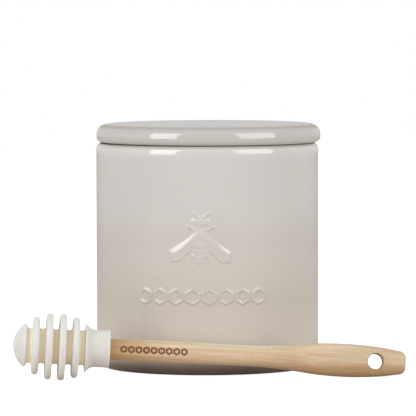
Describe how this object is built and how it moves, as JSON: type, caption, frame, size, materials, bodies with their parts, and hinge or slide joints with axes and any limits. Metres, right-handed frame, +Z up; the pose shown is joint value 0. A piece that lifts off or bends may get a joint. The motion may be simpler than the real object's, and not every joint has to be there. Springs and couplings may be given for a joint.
{
  "type": "honey pot with lid and dipper",
  "caption": "Round glazed stoneware pot with a lift-off disc lid, a raised bee and honeycomb cells on its wall, and a honey dipper with a finned soft head on a wooden paddle handle.",
  "frame": {"origin": "centre of the pot's foot ring, on the surface that the pot and the dipper lie on", "axes": "+Z up along the pot's axis, -Y towards the raised bee and the dipper, +X along the dipper from its head to its paddle end"},
  "size_m": [0.1717, 0.1291, 0.1098],
  "materials": {
    "glazed_stoneware": "glossy greige glaze",
    "beech": "oiled beech",
    "silicone": "matt off-white silicone"
  },
  "bodies": {
    "pot": {"pot_body": "glazed_stoneware"},
    "lid": {"lid": "glazed_stoneware"},
    "handle": {"dipper_handle": "beech"},
    "head": {"dipper_head": "silicone"}
  },
  "joints": [
    {"name": "lid_lift", "type": "slide", "parent": "pot", "child": "lid", "axis": [0, 0, 1], "range_m": [0, 0.07]},
    {"name": "dipper_lift", "type": "slide", "parent": "pot", "child": "handle", "axis": [0, 0, 1], "range_m": [0, 0.13]},
    {"name": "head_pull", "type": "slide", "parent": "handle", "child": "head", "axis": [-0.9966, -0.061, 0.0559], "range_m": [0, 0.04]}
  ]
}
